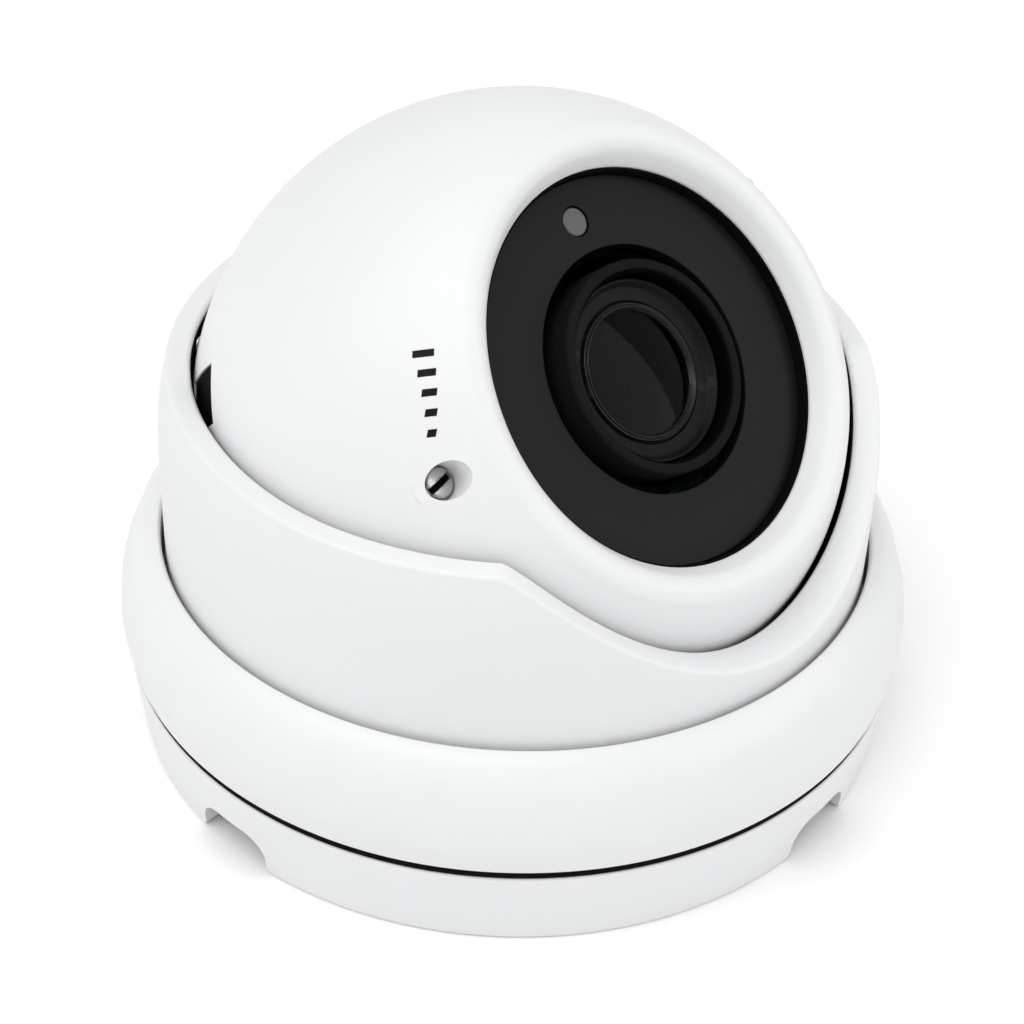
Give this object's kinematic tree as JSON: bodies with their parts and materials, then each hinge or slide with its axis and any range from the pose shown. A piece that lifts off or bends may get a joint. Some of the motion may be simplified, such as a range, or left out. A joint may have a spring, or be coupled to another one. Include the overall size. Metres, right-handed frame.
{
  "type": "dome cctv camera",
  "caption": "White turret-style dome security camera with a tilting ball, varifocal lens behind a dark window, turning saddle and screw-on lock ring.",
  "frame": {"origin": "centre of the base's underside, on the pan axis", "axes": "+Z along the pan axis away from the mounting surface; the lens looks along -Y and up at rest; +X is the tilt axis"},
  "size_m": [0.1222, 0.1222, 0.0981],
  "materials": {
    "white_paint": "satin powder coat",
    "black_rubber": "matte",
    "natural_plastic": "matte",
    "steel": "brushed",
    "dark_pane": "smooth satin",
    "grey_glass": "smooth",
    "black_plastic": "fine matte",
    "lens_glass": "coated",
    "led_epoxy": "gloss",
    "circuit_board": "satin solder mask",
    "brass": "turned"
  },
  "bodies": {
    "base": {"mounting_base": "white_paint", "base_seal": "black_rubber", "pan_glide_ring": "natural_plastic"},
    "lock_ring": {"lock_ring": "white_paint", "ring_lock_screw": "steel"},
    "saddle": {"saddle_shell": "white_paint", "pan_friction_ring": "natural_plastic", "tilt_pin_left": "steel", "tilt_pin_right": "steel"},
    "ball": {"ball_front_shell": "white_paint", "side_plug_1": "black_rubber", "side_plug_2": "black_rubber", "cover_screw_1": "steel", "cover_screw_2": "steel", "cover_screw_3": "steel", "cover_screw_4": "steel", "ball_rear_cover": "white_paint", "rear_cover_seal": "black_rubber", "cable_gland": "black_rubber", "window_pane": "dark_pane", "sensor_window": "grey_glass", "window_gasket": "black_rubber", "light_baffle": "black_plastic", "ir_board": "circuit_board", "light_sensor": "led_epoxy", "ir_led_1": "led_epoxy", "ir_led_2": "led_epoxy", "ir_led_3": "led_epoxy", "ir_led_4": "led_epoxy", "ir_led_5": "led_epoxy", "ir_led_6": "led_epoxy", "board_post_1": "brass", "board_post_2": "brass", "board_post_3": "brass", "board_post_4": "brass", "lens_barrel": "black_plastic", "front_lens_element": "lens_glass", "rear_lens_element": "lens_glass", "lens_hood": "black_rubber", "zoom_idler_pin": "steel", "focus_idler_pin": "steel", "lens_mount": "black_plastic", "image_sensor": "black_plastic", "sensor_board": "circuit_board", "main_board": "circuit_board", "processor_chip": "black_plastic", "board_spacer_1": "brass", "board_spacer_2": "brass", "board_spacer_3": "brass", "board_spacer_4": "brass", "tilt_washer_left": "natural_plastic", "tilt_washer_right": "natural_plastic"},
    "zoom_ring": {"zoom_ring_gear": "black_plastic"},
    "zoom_idler": {"zoom_idler_gear": "natural_plastic"},
    "zoom_screw": {"zoom_screw": "steel"},
    "focus_ring": {"focus_ring_gear": "black_plastic"},
    "focus_idler": {"focus_idler_gear": "natural_plastic"},
    "focus_screw": {"focus_screw": "steel"}
  },
  "joints": [
    {"name": "lock_ring_turn", "type": "hinge", "parent": "base", "child": "lock_ring", "pos_m": [0, 0, 0.023], "axis": [0, 0, 1], "range_deg": [0, 30]},
    {"name": "pan", "type": "hinge", "parent": "base", "child": "saddle", "pos_m": [0, 0, 0.021], "axis": [0, 0, 1], "range_deg": [-175, 175]},
    {"name": "tilt", "type": "hinge", "parent": "saddle", "child": "ball", "pos_m": [0, 0, 0.0494], "axis": [-1, 0, 0], "range_deg": [-16, 49]},
    {"name": "zoom_ring_turn", "type": "hinge", "parent": "ball", "child": "zoom_ring", "pos_m": [0, -0.00433, 0.0531], "axis": [0, -0.7604, 0.6494], "range_deg": [-30, 30]},
    {"name": "zoom_idler_turn", "type": "hinge", "parent": "ball", "child": "zoom_idler", "pos_m": [-0.025, -0.00433, 0.0531], "axis": [0, -0.7604, 0.6494], "range_deg": [-64, 64]},
    {"name": "zoom_screw_turn", "type": "hinge", "parent": "ball", "child": "zoom_screw", "pos_m": [-0.0375, -0.02129, 0.06759], "axis": [0, -0.7604, 0.6494], "range_deg": [-114, 114]},
    {"name": "focus_ring_turn", "type": "hinge", "parent": "ball", "child": "focus_ring", "pos_m": [0, -0.0089, 0.057], "axis": [0, -0.7604, 0.6494], "range_deg": [-30, 30]},
    {"name": "focus_idler_turn", "type": "hinge", "parent": "ball", "child": "focus_idler", "pos_m": [0.025, -0.0089, 0.057], "axis": [0, -0.7604, 0.6494], "range_deg": [-64, 64]},
    {"name": "focus_screw_turn", "type": "hinge", "parent": "ball", "child": "focus_screw", "pos_m": [0.0375, -0.02129, 0.06759], "axis": [0, -0.7604, 0.6494], "range_deg": [-114, 114]}
  ],
  "couplings": [
    {"joint": "zoom_idler_turn", "follows": "zoom_ring_turn", "ratio": -2.125},
    {"joint": "zoom_screw_turn", "follows": "zoom_ring_turn", "ratio": 3.7778},
    {"joint": "focus_idler_turn", "follows": "focus_ring_turn", "ratio": -2.125},
    {"joint": "focus_screw_turn", "follows": "focus_ring_turn", "ratio": 3.7778}
  ]
}
